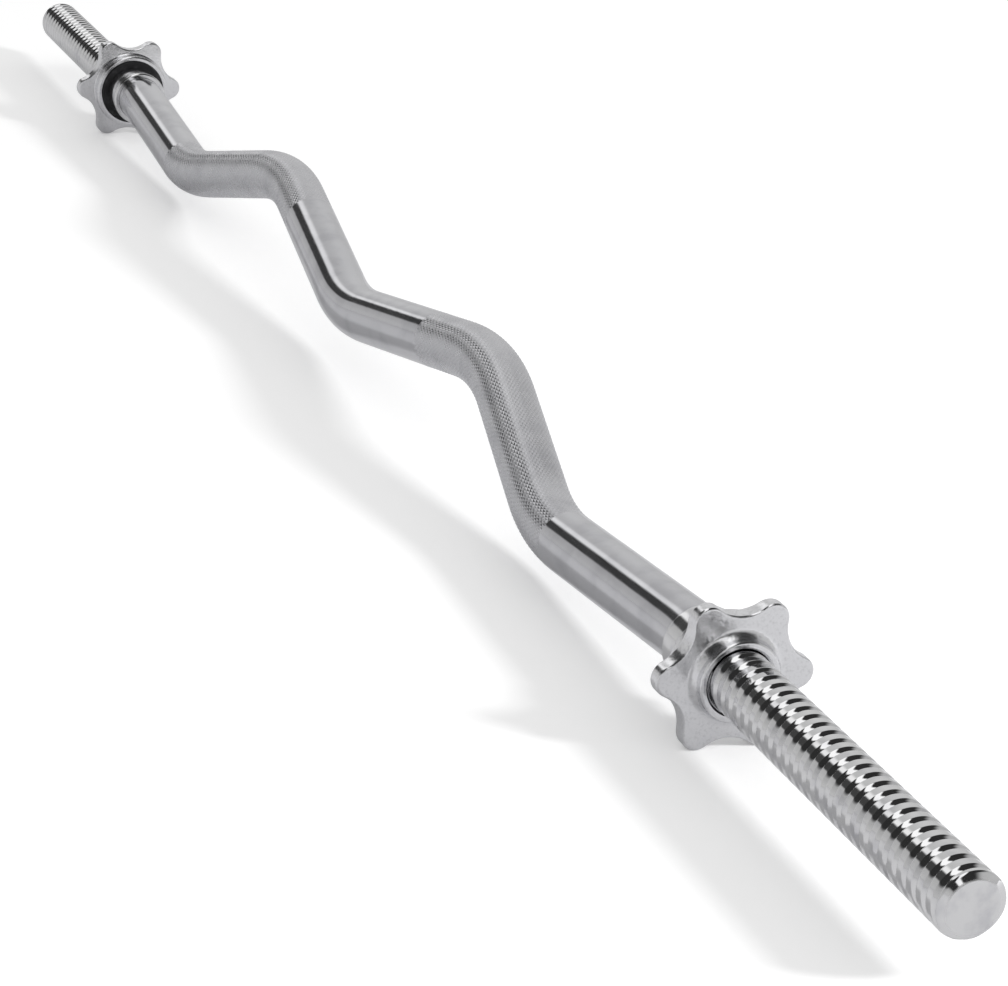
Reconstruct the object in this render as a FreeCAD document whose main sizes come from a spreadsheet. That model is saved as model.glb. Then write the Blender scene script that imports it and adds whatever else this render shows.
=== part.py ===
import FreeCAD, Part
import math
import os
import Sketcher

# An EZ curl bar: one bent steel bar with threaded ends, two pressed inner collars, two star collars that
# screw along the threads, and a rubber ring in the face of each star collar.
# X runs along the two sleeves, Z is up and the floor is at Z = 0.  Lengths are millimetres.

SIZES = (
    # Bent bar
    ("overall_length", 1200.0),
    ("bar_diameter", 25.0),
    ("thread_step", 0.4),
    ("end_chamfer", 2.8),
    ("bend_radius", 115.0),
    ("centre_drop", 2.4),
    ("knee_place", 148.5),
    ("knee_rise", 26.3),
    ("outer_bend_place", 264.0),
    ("outer_bend_drop", 9.5),
    ("sleeve_bend_place", 390.0),
    ("wave_tilt", 61.0),
    # Inner collars
    ("inner_collar_place", 398.0),
    ("inner_collar_length", 15.5),
    ("inner_collar_wall", 2.5),
    ("inner_collar_fit", 0.05),
    ("inner_collar_edge", 0.9),
    # Rubber rings
    ("ring_width", 3.6),
    ("ring_thickness", 5.0),
    ("ring_clearance", 0.3),
    ("ring_seat_gap", 0.2),
    ("ring_edge", 0.5),
    ("ring_face_gap", 0.3),
    # Star collars
    ("bore_clearance", 0.4),
    ("bore_chamfer", 0.8),
    ("lip_wall", 1.6),
    ("rim_wall", 2.5),
    ("groove_depth", 3.4),
    ("flange_height", 6.5),
    ("flange_edge", 1.2),
    ("flange_flare", 0.8),
    ("flange_land", 0.3),
    ("star_thickness", 7.0),
    ("scallop_rise", 2.4),
    ("lobe_height", 7.2),
    ("lobe_radius", 6.0),
    ("arm_slope", 1.4),
    ("star_inner_edge", 1.0),
    ("star_outer_edge", 0.9),
    ("boss_height", 4.5),
    ("boss_wall", 3.0),
    ("boss_flare", 3.2),
    ("boss_edge", 1.0),
    ("left_collar_turn", 0.0),
    ("right_collar_turn", 0.0),
)

# Sizes that follow from the ones above
DERIVED = (
    ("thread_radius", "bar_diameter / 2 - thread_step"),
    ("sleeve_start", "inner_collar_place + inner_collar_length"),
    ("bore_radius", "thread_radius + bore_clearance"),
    ("lip_radius", "bore_radius + lip_wall"),
    ("ring_inner_radius", "lip_radius + ring_clearance"),
    ("ring_outer_radius", "ring_inner_radius + ring_width"),
    ("rim_radius", "ring_outer_radius + ring_clearance"),
    ("flange_radius", "rim_radius + rim_wall"),
    ("scallop_radius", "flange_radius + scallop_rise"),
    ("star_radius", "scallop_radius + lobe_height"),
    ("boss_radius", "bore_radius + boss_wall"),
    ("ring_face", "groove_depth - ring_seat_gap - ring_thickness"),
    ("star_back", "flange_height + star_thickness"),
    ("collar_height", "star_back + boss_height"),
    ("ring_place", "sleeve_start + ring_face_gap"),
    ("collar_place", "ring_place - ring_face"),
    ("lowest_lobe", "max(cos(left_collar_turn - 30); cos(right_collar_turn - 30))"),
    ("axis_height", "(star_radius - lobe_radius) * lowest_lobe + lobe_radius"),
)

LOBES = 6
HALF_SECTOR = math.pi / LOBES
SIDES = {"left": -1, "right": 1}

doc = FreeCAD.newDocument("ez_curl_bar")
sheet = doc.addObject("Spreadsheet::Sheet", "sizes")
for row, (alias, value) in enumerate(SIZES + DERIVED, start=1):
    sheet.set("A%d" % row, alias)
    sheet.set("B%d" % row, str(value) if isinstance(value, float) else "=" + value)
    sheet.setAlias("B%d" % row, alias)
doc.recompute()


def size(alias):
    """Value of one named size."""
    return float(getattr(sheet, alias))


def amount(expression):
    """Value of an expression of named sizes, as written for setExpression."""
    return float(sheet.evalExpression(expression))


def new_body(label):
    """An empty body whose label names the piece."""
    body = doc.addObject("PartDesign::Body", label)
    body.Label = label
    return body


def origin_feature(body, role):
    """The body's own origin plane or axis with this role."""
    return [feature for feature in body.Origin.OriginFeatures if feature.Role == role][0]


def new_sketch(body, name, role):
    """A sketch on one of the body's origin planes."""
    sketch = body.newObject("Sketcher::SketchObject", name)
    sketch.AttachmentSupport = (origin_feature(body, role), [""])
    sketch.MapMode = "FlatFace"
    return sketch


def bind(sketch, kind, where, expression):
    """Add one dimension whose value follows an expression of the sheet's sizes."""
    index = sketch.addConstraint(Sketcher.Constraint(kind, *where, amount(expression)))
    sketch.setExpression("Constraints[%d]" % index, expression)


def pin_point(sketch, geometry, position, across, along):
    """Fix a point of a sketch by two expressions, measured from the sketch's origin."""
    for kind, expression, axis in (("DistanceX", across, -2), ("DistanceY", along, -1)):
        value = amount(expression)
        if abs(value) < 1e-9:
            sketch.addConstraint(Sketcher.Constraint("PointOnObject", geometry, position, axis))
        elif value > 0:
            bind(sketch, kind, (-1, 1, geometry, position), expression)
        else:
            bind(sketch, kind, (geometry, position, -1, 1), "-(%s)" % expression)


def outline(sketch, corners):
    """Close straight lines through corners, each given as a pair of expressions."""
    points = [FreeCAD.Vector(amount(x), amount(y), 0) for x, y in corners]
    count = len(points)
    for index in range(count):
        sketch.addGeometry(Part.LineSegment(points[index], points[(index + 1) % count]))
    for index in range(count):
        sketch.addConstraint(Sketcher.Constraint("Coincident", index, 2, (index + 1) % count, 1))
        pin_point(sketch, index, 1, *corners[index])


def turned(body, name, kind, corners):
    """Revolve a closed outline about the body's X axis, as material or as a cut."""
    sketch = new_sketch(body, name + "_profile", "XY_Plane")
    outline(sketch, corners)
    feature = body.newObject("PartDesign::" + kind, name)
    feature.Profile = sketch
    feature.ReferenceAxis = (origin_feature(body, "X_Axis"), [""])
    feature.Angle = 360.0
    doc.recompute()
    return feature


def rounded(body, name, radius, wanted):
    """Fillet every edge of the body's present shape that the test function wants."""
    base = body.Tip
    names = ["Edge%d" % number for number, edge in enumerate(base.Shape.Edges, start=1) if wanted(edge)]
    fillet = body.newObject("PartDesign::Fillet", name)
    fillet.Base = (base, names)
    fillet.setExpression("Radius", "sizes." + radius)
    doc.recompute()


def ring_edge(place, radius):
    """A test for round edges about the X axis at one place and radius."""
    def test(edge):
        curve = edge.Curve
        if not isinstance(curve, Part.Circle):
            return False
        near_axis = math.hypot(curve.Center.y, curve.Center.z) < 1e-4
        return near_axis and abs(curve.Center.x - place) < 1e-4 and abs(curve.Radius - radius) < 1e-4
    return test


def any_of(*tests):
    """A test that passes where any of the given tests does."""
    return lambda edge: any(test(edge) for test in tests)


# Bent bar


def corner_round(before, corner, after, radius):
    """Ends, centre and turning sense of the arc that rounds a corner between two straight runs."""
    inward = (before - corner).normalize()
    onward = (after - corner).normalize()
    half_turn = (math.pi - inward.getAngle(onward)) / 2
    first = corner + inward * (radius * math.tan(half_turn))
    last = corner + onward * (radius * math.tan(half_turn))
    centre = corner + (inward + onward).normalize() * (radius / math.cos(half_turn))
    turns_left = (corner - before).cross(after - corner).z > 0
    return first, last, centre, turns_left


def add_arc(sketch, centre, radius, start, end):
    """Add a counterclockwise arc from start to end."""
    circle = Part.Circle(centre, FreeCAD.Vector(0, 0, 1), radius)
    angles = [math.atan2(point.y - centre.y, point.x - centre.x) for point in (start, end)]
    return sketch.addGeometry(Part.ArcOfCircle(circle, *angles))


def half_wave(body):
    """Centre line from the right tip to the middle: straight runs through named bend points, with arcs."""
    sketch = new_sketch(body, "centre_line", "XY_Plane")
    bends = [
        ("sizes.sleeve_bend_place", "0"),
        ("sizes.outer_bend_place", "-sizes.outer_bend_drop"),
        ("sizes.knee_place", "sizes.knee_rise"),
        ("0", "-sizes.centre_drop"),
    ]
    corners = [FreeCAD.Vector(amount(x), amount(y), 0) for x, y in bends]
    tip = FreeCAD.Vector(amount("sizes.overall_length / 2"), 0, 0)
    mirrored_knee = FreeCAD.Vector(-corners[2].x, corners[2].y, 0)
    route = [tip] + corners + [mirrored_knee]
    radius = size("bend_radius")

    joints = []
    start = tip
    for index, (x, y) in enumerate(bends, start=1):
        first, last, centre, turns_left = corner_round(*route[index - 1:index + 2], radius)
        if index == len(bends):
            last = FreeCAD.Vector(0, centre.y - radius, 0)
        line = sketch.addGeometry(Part.LineSegment(start, first))
        arc = add_arc(sketch, centre, radius, *((first, last) if turns_left else (last, first)))
        corner = sketch.addGeometry(Part.Point(route[index]), True)
        pin_point(sketch, corner, 1, x, y)
        bind(sketch, "Radius", (arc,), "sizes.bend_radius")
        joints.append((line, arc, corner, turns_left))
        start = last

    for index, (line, arc, corner, turns_left) in enumerate(joints):
        sketch.addConstraint(Sketcher.Constraint("Tangent", line, 2, arc, 1 if turns_left else 2))
        sketch.addConstraint(Sketcher.Constraint("PointOnObject", corner, 1, line))
        if index + 1 < len(joints):
            next_line = joints[index + 1][0]
            sketch.addConstraint(Sketcher.Constraint("Tangent", arc, 2 if turns_left else 1, next_line, 1))
            sketch.addConstraint(Sketcher.Constraint("PointOnObject", corner, 1, next_line))
    first_line = joints[0][0]
    pin_point(sketch, first_line, 1, "sizes.overall_length / 2", "0")
    middle_arc = joints[-1][1]
    for position in (1, 3):
        sketch.addConstraint(Sketcher.Constraint("PointOnObject", middle_arc, position, -2))
    return sketch


def make_curl_bar():
    """One round bar swept along the wave, its ends turned down for the thread and chamfered."""
    body = new_body("curl_bar")
    centre_line = half_wave(body)
    section = new_sketch(body, "bar_section", "YZ_Plane")
    section.setExpression("AttachmentOffset.Base.z", "sizes.overall_length / 2")
    round_bar = Part.Circle(FreeCAD.Vector(0, 0, 0), FreeCAD.Vector(0, 0, 1), size("bar_diameter") / 2)
    circle = section.addGeometry(round_bar)
    section.addConstraint(Sketcher.Constraint("Coincident", circle, 3, -1, 1))
    bind(section, "Diameter", (circle,), "sizes.bar_diameter")
    doc.recompute()
    half_bar = body.newObject("PartDesign::AdditivePipe", "half_bar")
    half_bar.Profile = section
    half_bar.Spine = (centre_line, ["Edge%d" % number for number in range(1, len(centre_line.Shape.Edges) + 1)])
    doc.recompute()
    whole_volume = half_bar.Shape.Volume

    tip = "sizes.overall_length / 2"
    clear = "sizes.bar_diameter"
    sleeve = turned(body, "sleeve_turning", "Groove", [
        ("sizes.sleeve_start", "sizes.thread_radius"),
        (tip + " - sizes.end_chamfer", "sizes.thread_radius"),
        (tip, "sizes.thread_radius - sizes.end_chamfer"),
        (tip, clear),
        ("sizes.sleeve_start", clear),
    ])
    if not sleeve.Shape.Volume < whole_volume:
        raise RuntimeError("the sleeve was not turned down")

    mirror = body.newObject("PartDesign::Mirrored", "left_half")
    mirror.Originals = [half_bar, sleeve]
    mirror.MirrorPlane = (origin_feature(body, "YZ_Plane"), [""])
    body.Tip = mirror
    body.Placement.Rotation = FreeCAD.Rotation(FreeCAD.Vector(1, 0, 0), size("wave_tilt"))
    body.setExpression("Placement.Rotation.Angle", "sizes.wave_tilt")
    body.setExpression("Placement.Base.z", "sizes.axis_height")
    return body


# Pieces on the sleeves: each is made with X outward from the middle of the bar, then set on its side


def set_on_sleeve(body, side, place, turn):
    """Put a piece on one sleeve, X outward, at an expression's distance and turned about the axis."""
    outward = FreeCAD.Rotation(FreeCAD.Vector(0, 0, 1), 0 if SIDES[side] > 0 else 180)
    body.Placement.Rotation = FreeCAD.Rotation(FreeCAD.Vector(1, 0, 0), turn) * outward
    body.setExpression("Placement.Base.x", place if SIDES[side] > 0 else "-(%s)" % place)
    body.setExpression("Placement.Base.z", "sizes.axis_height")


def make_inner_collar(side):
    """A short pressed sleeve with rounded outer edges, the stop for the plates."""
    body = new_body(side + "_inner_collar")
    inner = "sizes.bar_diameter / 2 + sizes.inner_collar_fit"
    outer = "sizes.bar_diameter / 2 + sizes.inner_collar_wall"
    turned(body, "sleeve", "Revolution", [
        ("0", inner),
        ("sizes.inner_collar_length", inner),
        ("sizes.inner_collar_length", outer),
        ("0", outer),
    ])
    ends = [ring_edge(place, amount(outer)) for place in (0, size("inner_collar_length"))]
    rounded(body, "edges", "inner_collar_edge", any_of(*ends))
    set_on_sleeve(body, side, "sizes.inner_collar_place", 0)
    return body


def make_rubber_ring(side):
    """A flat rubber ring that stands a little proud of the star collar's face."""
    body = new_body(side + "_rubber_ring")
    turned(body, "ring", "Revolution", [
        ("0", "sizes.ring_inner_radius"),
        ("sizes.ring_thickness", "sizes.ring_inner_radius"),
        ("sizes.ring_thickness", "sizes.ring_outer_radius"),
        ("0", "sizes.ring_outer_radius"),
    ])
    corners = [(place, radius) for place in (0, size("ring_thickness"))
               for radius in (size("ring_inner_radius"), size("ring_outer_radius"))]
    rounded(body, "edges", "ring_edge", any_of(*[ring_edge(*corner) for corner in corners]))
    set_on_sleeve(body, side, "sizes.ring_place", 0)
    return body


def star_sector(body):
    """One arm of the star: a round lobe between two half scallops, with arcs that run on smoothly."""
    sketch = new_sketch(body, "arm_outline", "YZ_Plane")
    sketch.setExpression("AttachmentOffset.Base.z", "sizes.flange_height")
    root = size("boss_radius")
    scallop = size("scallop_radius")
    lobe = size("lobe_radius")
    lobe_centre = size("star_radius") - lobe
    along = lobe_centre * math.cos(HALF_SECTOR)
    across = lobe_centre * math.sin(HALF_SECTOR)
    # The scallop's circle has its centre on the line between two arms and touches both lobes
    scallop_round = ((scallop - along) ** 2 + across ** 2 - lobe ** 2) / (2 * (lobe - scallop + along))
    bisector = FreeCAD.Vector(math.cos(HALF_SECTOR), math.sin(HALF_SECTOR), 0)
    lobe_middle = FreeCAD.Vector(lobe_centre, 0, 0)
    hollow = bisector * (scallop + scallop_round)
    touch = lobe_middle + (hollow - lobe_middle).normalize() * lobe

    def flipped(point):
        return FreeCAD.Vector(point.x, -point.y, 0)

    origin = FreeCAD.Vector(0, 0, 0)
    inner = add_arc(sketch, origin, root, flipped(bisector), bisector)
    upper_line = sketch.addGeometry(Part.LineSegment(bisector * root, bisector * scallop))
    upper_hollow = add_arc(sketch, hollow, scallop_round, bisector * scallop, touch)
    tip = add_arc(sketch, lobe_middle, lobe, flipped(touch), touch)
    lower_hollow = add_arc(sketch, flipped(hollow), scallop_round, flipped(touch), flipped(bisector * scallop))
    lower_line = sketch.addGeometry(Part.LineSegment(flipped(bisector * scallop), flipped(bisector * root)))

    rules = (
        ("Coincident", inner, 3, -1, 1),
        ("Coincident", inner, 2, upper_line, 1),
        ("Coincident", upper_line, 2, upper_hollow, 1),
        ("Tangent", upper_hollow, 2, tip, 2),
        ("Tangent", tip, 1, lower_hollow, 1),
        ("Coincident", lower_hollow, 2, lower_line, 1),
        ("Coincident", lower_line, 2, inner, 1),
        ("PointOnObject", -1, 1, upper_line),
        ("PointOnObject", -1, 1, lower_line),
        ("PointOnObject", upper_hollow, 3, upper_line),
        ("PointOnObject", lower_hollow, 3, lower_line),
        ("PointOnObject", tip, 3, -1),
        ("Symmetric", upper_line, 2, lower_line, 1, -1),
        ("Angle", upper_line, HALF_SECTOR),
    )
    for rule in rules:
        sketch.addConstraint(Sketcher.Constraint(*rule))
    bind(sketch, "Radius", (inner,), "sizes.boss_radius")
    bind(sketch, "Distance", (-1, 1, upper_line, 2), "sizes.scallop_radius")
    bind(sketch, "Radius", (tip,), "sizes.lobe_radius")
    bind(sketch, "DistanceX", (-1, 1, tip, 3), "sizes.star_radius - sizes.lobe_radius")
    return sketch


def make_star_collar(side):
    """A cast star nut: bored core with a grooved flange, six sloping arms and a low boss."""
    body = new_body(side + "_star_collar")
    turned(body, "core", "Revolution", [
        ("0", "sizes.bore_radius + sizes.bore_chamfer"),
        ("0", "sizes.lip_radius"),
        ("sizes.groove_depth", "sizes.lip_radius"),
        ("sizes.groove_depth", "sizes.rim_radius"),
        ("0", "sizes.rim_radius"),
        ("0", "sizes.flange_radius"),
        ("sizes.star_back", "sizes.flange_radius"),
        ("sizes.star_back", "sizes.boss_radius"),
        ("sizes.collar_height", "sizes.boss_radius"),
        ("sizes.collar_height", "sizes.bore_radius + sizes.bore_chamfer"),
        ("sizes.collar_height - sizes.bore_chamfer", "sizes.bore_radius"),
        ("sizes.bore_chamfer", "sizes.bore_radius"),
    ])

    arm = body.newObject("PartDesign::Pad", "arm")
    arm.Profile = star_sector(body)
    arm.setExpression("Length", "sizes.star_thickness")
    doc.recompute()
    star = body.newObject("PartDesign::PolarPattern", "star")
    star.Originals = [arm]
    star.Axis = (origin_feature(body, "X_Axis"), [""])
    star.Angle = 360.0
    star.Occurrences = LOBES
    body.Tip = star
    doc.recompute()
    plain_volume = star.Shape.Volume

    beyond = "sizes.star_radius + sizes.lobe_radius"
    shoulder = "sizes.flange_radius + sizes.flange_flare + sizes.flange_land"
    slope = turned(body, "arm_slope_cut", "Groove", [
        ("sizes.flange_height", shoulder),
        ("sizes.flange_height + sizes.arm_slope", "sizes.star_radius"),
        ("sizes.flange_height + sizes.arm_slope", beyond),
        ("sizes.flange_height", beyond),
    ])
    if not slope.Shape.Volume < plain_volume:
        raise RuntimeError("the arms were not sloped")

    def reach(edge):
        middle = edge.valueAt((edge.FirstParameter + edge.LastParameter) / 2)
        return middle, math.hypot(middle.y, middle.z)

    def outer_rim(edge):
        middle, radius = reach(edge)
        return abs(middle.x - size("star_back")) < 1e-4 and radius > size("scallop_radius") - 1e-3

    def inner_rim(edge):
        middle, radius = reach(edge)
        low = size("flange_height") - 1e-4
        high = size("flange_height") + size("arm_slope") * 1.05
        return low < middle.x < high and radius > size("scallop_radius") - 1e-3

    rounded(body, "outer_rim", "star_outer_edge", outer_rim)
    rounded(body, "inner_rim", "star_inner_edge", inner_rim)
    rounded(body, "flange_foot", "flange_flare", ring_edge(size("flange_height"), size("flange_radius")))
    rounded(body, "boss_foot", "boss_flare", ring_edge(size("star_back"), size("boss_radius")))
    rounded(body, "boss_mouth", "boss_edge", ring_edge(size("collar_height"), size("boss_radius")))
    rounded(body, "flange_face", "flange_edge", ring_edge(0, size("flange_radius")))
    set_on_sleeve(body, side, "sizes.collar_place", size(side + "_collar_turn"))
    return body


pieces = [make_curl_bar()]
for side_name in SIDES:
    pieces.append(make_inner_collar(side_name))
    pieces.append(make_rubber_ring(side_name))
    pieces.append(make_star_collar(side_name))
doc.recompute()

for thing in doc.Objects:
    if "Invalid" in thing.State or "Error" in thing.State:
        raise RuntimeError("%s failed: %s" % (thing.Label, thing.State))
for piece in pieces:
    if piece.Shape.isNull() or not piece.Shape.isValid() or len(piece.Shape.Solids) != 1:
        raise RuntimeError("%s is not one valid solid" % piece.Label)

os.makedirs("parts", exist_ok=True)
for piece in pieces:
    piece.Shape.exportStep("parts/%s.step" % piece.Label)
    box = piece.Shape.BoundBox
    print("%-20s volume %9.1f mm3  box %.2f..%.2f  %.2f..%.2f  %.2f..%.2f" % (
        piece.Label, piece.Shape.Volume, box.XMin, box.XMax, box.YMin, box.YMax, box.ZMin, box.ZMax))
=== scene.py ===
import math

import bpy
import numpy as np
from mathutils import Matrix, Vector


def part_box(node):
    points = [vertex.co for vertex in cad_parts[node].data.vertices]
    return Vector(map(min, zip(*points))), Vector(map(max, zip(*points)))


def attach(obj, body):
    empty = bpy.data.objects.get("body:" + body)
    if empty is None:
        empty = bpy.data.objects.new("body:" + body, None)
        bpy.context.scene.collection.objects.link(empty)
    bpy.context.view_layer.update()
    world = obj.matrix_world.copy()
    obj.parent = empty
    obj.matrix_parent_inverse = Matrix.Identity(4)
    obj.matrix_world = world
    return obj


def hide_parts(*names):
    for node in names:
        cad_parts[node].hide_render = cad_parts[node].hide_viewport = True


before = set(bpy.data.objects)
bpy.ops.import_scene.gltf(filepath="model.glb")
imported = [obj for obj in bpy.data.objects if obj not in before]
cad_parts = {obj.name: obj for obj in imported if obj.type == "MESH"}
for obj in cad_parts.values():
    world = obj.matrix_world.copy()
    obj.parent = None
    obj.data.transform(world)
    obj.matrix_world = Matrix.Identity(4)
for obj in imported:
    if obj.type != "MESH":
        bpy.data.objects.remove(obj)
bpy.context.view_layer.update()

bl_info = {
    "name": "EZ curl bar",
    "version": (1, 0, 0),
    "blender": (4, 5, 0),
    "location": "3D View > Sidebar > Curl bar",
    "description": "A bent weight bar with knurled grips, threaded sleeves and screwed star collars",
    "category": "Add Mesh",
}

# Boxes of the solids in metres
BAR_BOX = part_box("curl_bar")
STOP_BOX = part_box("right_inner_collar")
RING_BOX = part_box("right_rubber_ring")
STAR_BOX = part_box("right_star_collar")
AXIS_HEIGHT = (RING_BOX[0][2] + RING_BOX[1][2]) / 2

# The picture's width and focal length in pixels, and the eye that sees the bar as the photograph does
PICTURE_WIDTH = 1008
FOCAL_PIXELS = 3096.7
SENSOR_WIDTH = 36.0
VIEW_DEPTH = 50.0
EYE = (1.3121, -0.4604, 0.45384)
EYE_RIGHT = (0.35256, 0.93179, 0.08644)
EYE_UP = (-0.35388, 0.04725, 0.93410)
EYE_FORWARD = (-0.86629, 0.35992, -0.34640)

# The floor and the key light
FLOOR_REACH = 6.0
FLOOR_CELLS = 6
KEY_TOWARD = (0.55, 0.66, 0.52)
KEY_DISTANCE = 2.5
KEY_SIZE = 0.45

# The dome, and the X of the mirrored directions where the dark room begins and where it is full
WHITE = (1.0, 1.0, 1.0, 1.0)
HALF_TURN_DEGREES = 180.0
ROOM_BEGINS = -0.60
ROOM_FILLS = -0.20

# Small sizes in metres
CRISP_EDGE = 0.00012
PRESS_FIT = 0.00005
SLEEVE_OVERLAP = 0.002
SHOULDER_STEP = 0.0003
BORE_INSET = 0.0003
RIDGE_RUN_OUT = 0.0015
SAWN_DEPTH = 0.0005
SAWN_BLEND = 0.0004

# How finely the surfaces are divided: counts, and shares of a side, of the tip's radius and of a thread row
LINE_SAMPLES = 24001
THREAD_COLUMNS = 112
RING_COLUMNS = 128
STAR_COLUMNS = 336
BORE_ROWS = 54
ARC_POINTS = 5
SIDE_STATIONS = (0.05, 0.35, 0.65, 0.95)
FACE_RINGS = (1.0, 0.97, 0.7, 0.35)
LAST_STEP = 0.6

# The star's lobes, and the share of the flange's flare that fits beside the shoulder
LOBES = 6
FLARE_FIT = 0.9

# The bore's ridge as shares of the groove that it runs in
RIDGE_WIDTH = 0.75
RIDGE_HEIGHT = 0.55


def length(name, description, default):
    """A property that holds a length in metres."""
    return bpy.props.FloatProperty(
        name=name, description=description, default=default, min=0.0, unit="LENGTH", precision=5)


def turn(name, description, degrees):
    """A property that holds an angle, given here in degrees."""
    return bpy.props.FloatProperty(
        name=name, description=description, default=math.radians(degrees), subtype="ANGLE")


def share(name, description, default):
    """A property that holds a part of a whole."""
    return bpy.props.FloatProperty(
        name=name, description=description, default=default, min=0.0, max=1.0, subtype="FACTOR")


def count(name, description, default, least):
    """A property that holds a whole number."""
    return bpy.props.IntProperty(name=name, description=description, default=default, min=least)


def colour(name, description, default):
    """A property that holds a linear colour."""
    return bpy.props.FloatVectorProperty(
        name=name, description=description, default=default, size=3, min=0.0, max=1.0, subtype="COLOR")


def brightness(name, description, default):
    """A property that holds the strength of a light or of a bright surface."""
    return bpy.props.FloatProperty(name=name, description=description, default=default, min=0.0)


class CurlBarWave(bpy.types.PropertyGroup):
    """Sizes of the bent bar's centre line and round section."""

    radius: length("Bar radius", "Half the diameter of the smooth bar", 0.0125)
    tip: length("Tip", "Distance from the middle of the bar to its tip", BAR_BOX[1][0])
    axis_height: length("Axis height", "Height of the sleeves' axis above the floor", AXIS_HEIGHT)
    bend_radius: length("Bend radius", "Radius of every bend on the centre line", 0.115)
    centre_drop: length("Centre drop", "How far the middle lies below the sleeves' axis", 0.0024)
    knee_place: length("Knee place", "Distance of the knees from the middle", 0.1485)
    knee_rise: length("Knee rise", "How far the knees rise from the sleeves' axis", 0.0263)
    outer_place: length("Outer bend place", "Distance of the outer bends from the middle", 0.264)
    outer_drop: length("Outer bend drop", "How far the outer bends lie below the sleeves' axis", 0.0095)
    sleeve_place: length("Sleeve bend place", "Distance of the sleeves' bends from the middle", 0.390)
    tilt: turn("Wave tilt", "Lean of the wave's plane from level as the bar lies on its collars", 61.0)
    row_step: length("Row step", "Distance between rows of faces on the smooth stretches", 0.002)


class CurlBarKnurl(bpy.types.PropertyGroup):
    """Sizes of the diamond knurl on the two angled grips."""

    inner: length("Inner end", "Distance from the middle to the inner end of each knurled grip", 0.095)
    outer: length("Outer end", "Distance from the middle to the outer end of each knurled grip", 0.282)
    depth: length("Groove depth", "Depth of the grooves between the diamonds", 0.00013)
    diamonds: count("Diamonds around", "Number of diamonds in one ring of the knurl", 45, 12)
    helix: turn("Groove angle", "Angle between a groove and the bar's length", 30.0)


class CurlBarThread(bpy.types.PropertyGroup):
    """Sizes of the right-handed thread on the sleeves and in the star collars."""

    pitch: length("Pitch", "Distance from one turn of the thread to the next", 0.00635)
    crest: length("Crest radius", "Radius of the flat crests", 0.0121)
    depth: length("Depth", "Depth of the rounded grooves", 0.0012)
    groove: share("Groove share", "Part of the pitch that a groove takes", 0.52)
    chamfer: length("End chamfer", "How much the chamfer takes off the radius at the tips", 0.0028)
    chamfer_run: length("End chamfer length", "Length of the chamfer along the bar", 0.0015)
    steps: count("Rows a pitch", "Rows of faces in one pitch of the thread", 24, 8)


class CurlBarCollars(bpy.types.PropertyGroup):
    """Sizes of the stop collars, rubber rings and star collars."""

    stop_start: length("Stop collar start", "Distance from the middle to the stop collar", STOP_BOX[0][0])
    stop_end: length("Stop collar end", "Distance from the middle to its outer face", STOP_BOX[1][0])
    stop_radius: length("Stop collar radius", "Outer radius of the stop collar", STOP_BOX[1][1])
    stop_edge: length("Stop collar edge", "Rounding of the stop collar's outer edges", 0.0009)
    ring_start: length("Ring start", "Distance from the middle to the rubber ring's face", RING_BOX[0][0])
    ring_end: length("Ring end", "Distance from the middle to the rubber ring's back", RING_BOX[1][0])
    ring_bore: length("Ring bore", "Inner radius of the rubber ring", 0.0144)
    ring_radius: length("Ring radius", "Outer radius of the rubber ring", RING_BOX[1][1])
    ring_edge: length("Ring edge", "Rounding of the rubber ring's edges", 0.0005)
    star_start: length("Star collar start", "Distance from the middle to the flange's face", STAR_BOX[0][0])
    star_radius: length("Star radius", "Distance from the axis to the lobes' tips", STAR_BOX[1][1])
    lobe_radius: length("Lobe radius", "Radius of the round end of each lobe", 0.006)
    hollow: length("Hollow radius", "Distance from the axis to the hollows between lobes", 0.0232)
    bore: length("Bore radius", "Radius of the star collar's bore between its thread ridges", 0.0125)
    bore_chamfer: length("Bore chamfer", "Chamfer at both ends of the bore", 0.0008)
    lip: length("Lip radius", "Outer radius of the lip inside the ring groove", 0.0141)
    rim: length("Rim radius", "Inner radius of the rim outside the ring groove", 0.0183)
    groove_depth: length("Groove depth", "Depth of the ring groove in the flange's face", 0.0034)
    flange: length("Flange radius", "Outer radius of the flange", 0.0208)
    flange_edge: length("Flange edge", "Rounding of the flange's face edge", 0.0012)
    flange_height: length("Flange height", "Height of the flange in front of the star", 0.0065)
    flange_flare: length("Flange flare", "Rounding where the flange meets the star", 0.0008)
    plate: length("Star thickness", "Thickness of the star at its middle", 0.007)
    slope: length("Arm slope", "How much thinner the star is at its lobes' tips", 0.0014)
    inner_edge: length("Inner star edge", "Rounding of the star's edge on the flange side", 0.0010)
    outer_edge: length("Outer star edge", "Rounding of the star's edge on the boss side", 0.0009)
    boss: length("Boss radius", "Outer radius of the low boss", 0.0155)
    boss_height: length("Boss height", "Height of the boss beyond the star", 0.0045)
    boss_flare: length("Boss flare", "Rounding where the boss meets the star", 0.0032)
    boss_edge: length("Boss edge", "Rounding of the boss's mouth", 0.0010)
    left_turn: turn("Left turn", "Turn of the left star collar about the bar", 0.0)
    right_turn: turn("Right turn", "Turn of the right star collar about the bar", 0.0)


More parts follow.
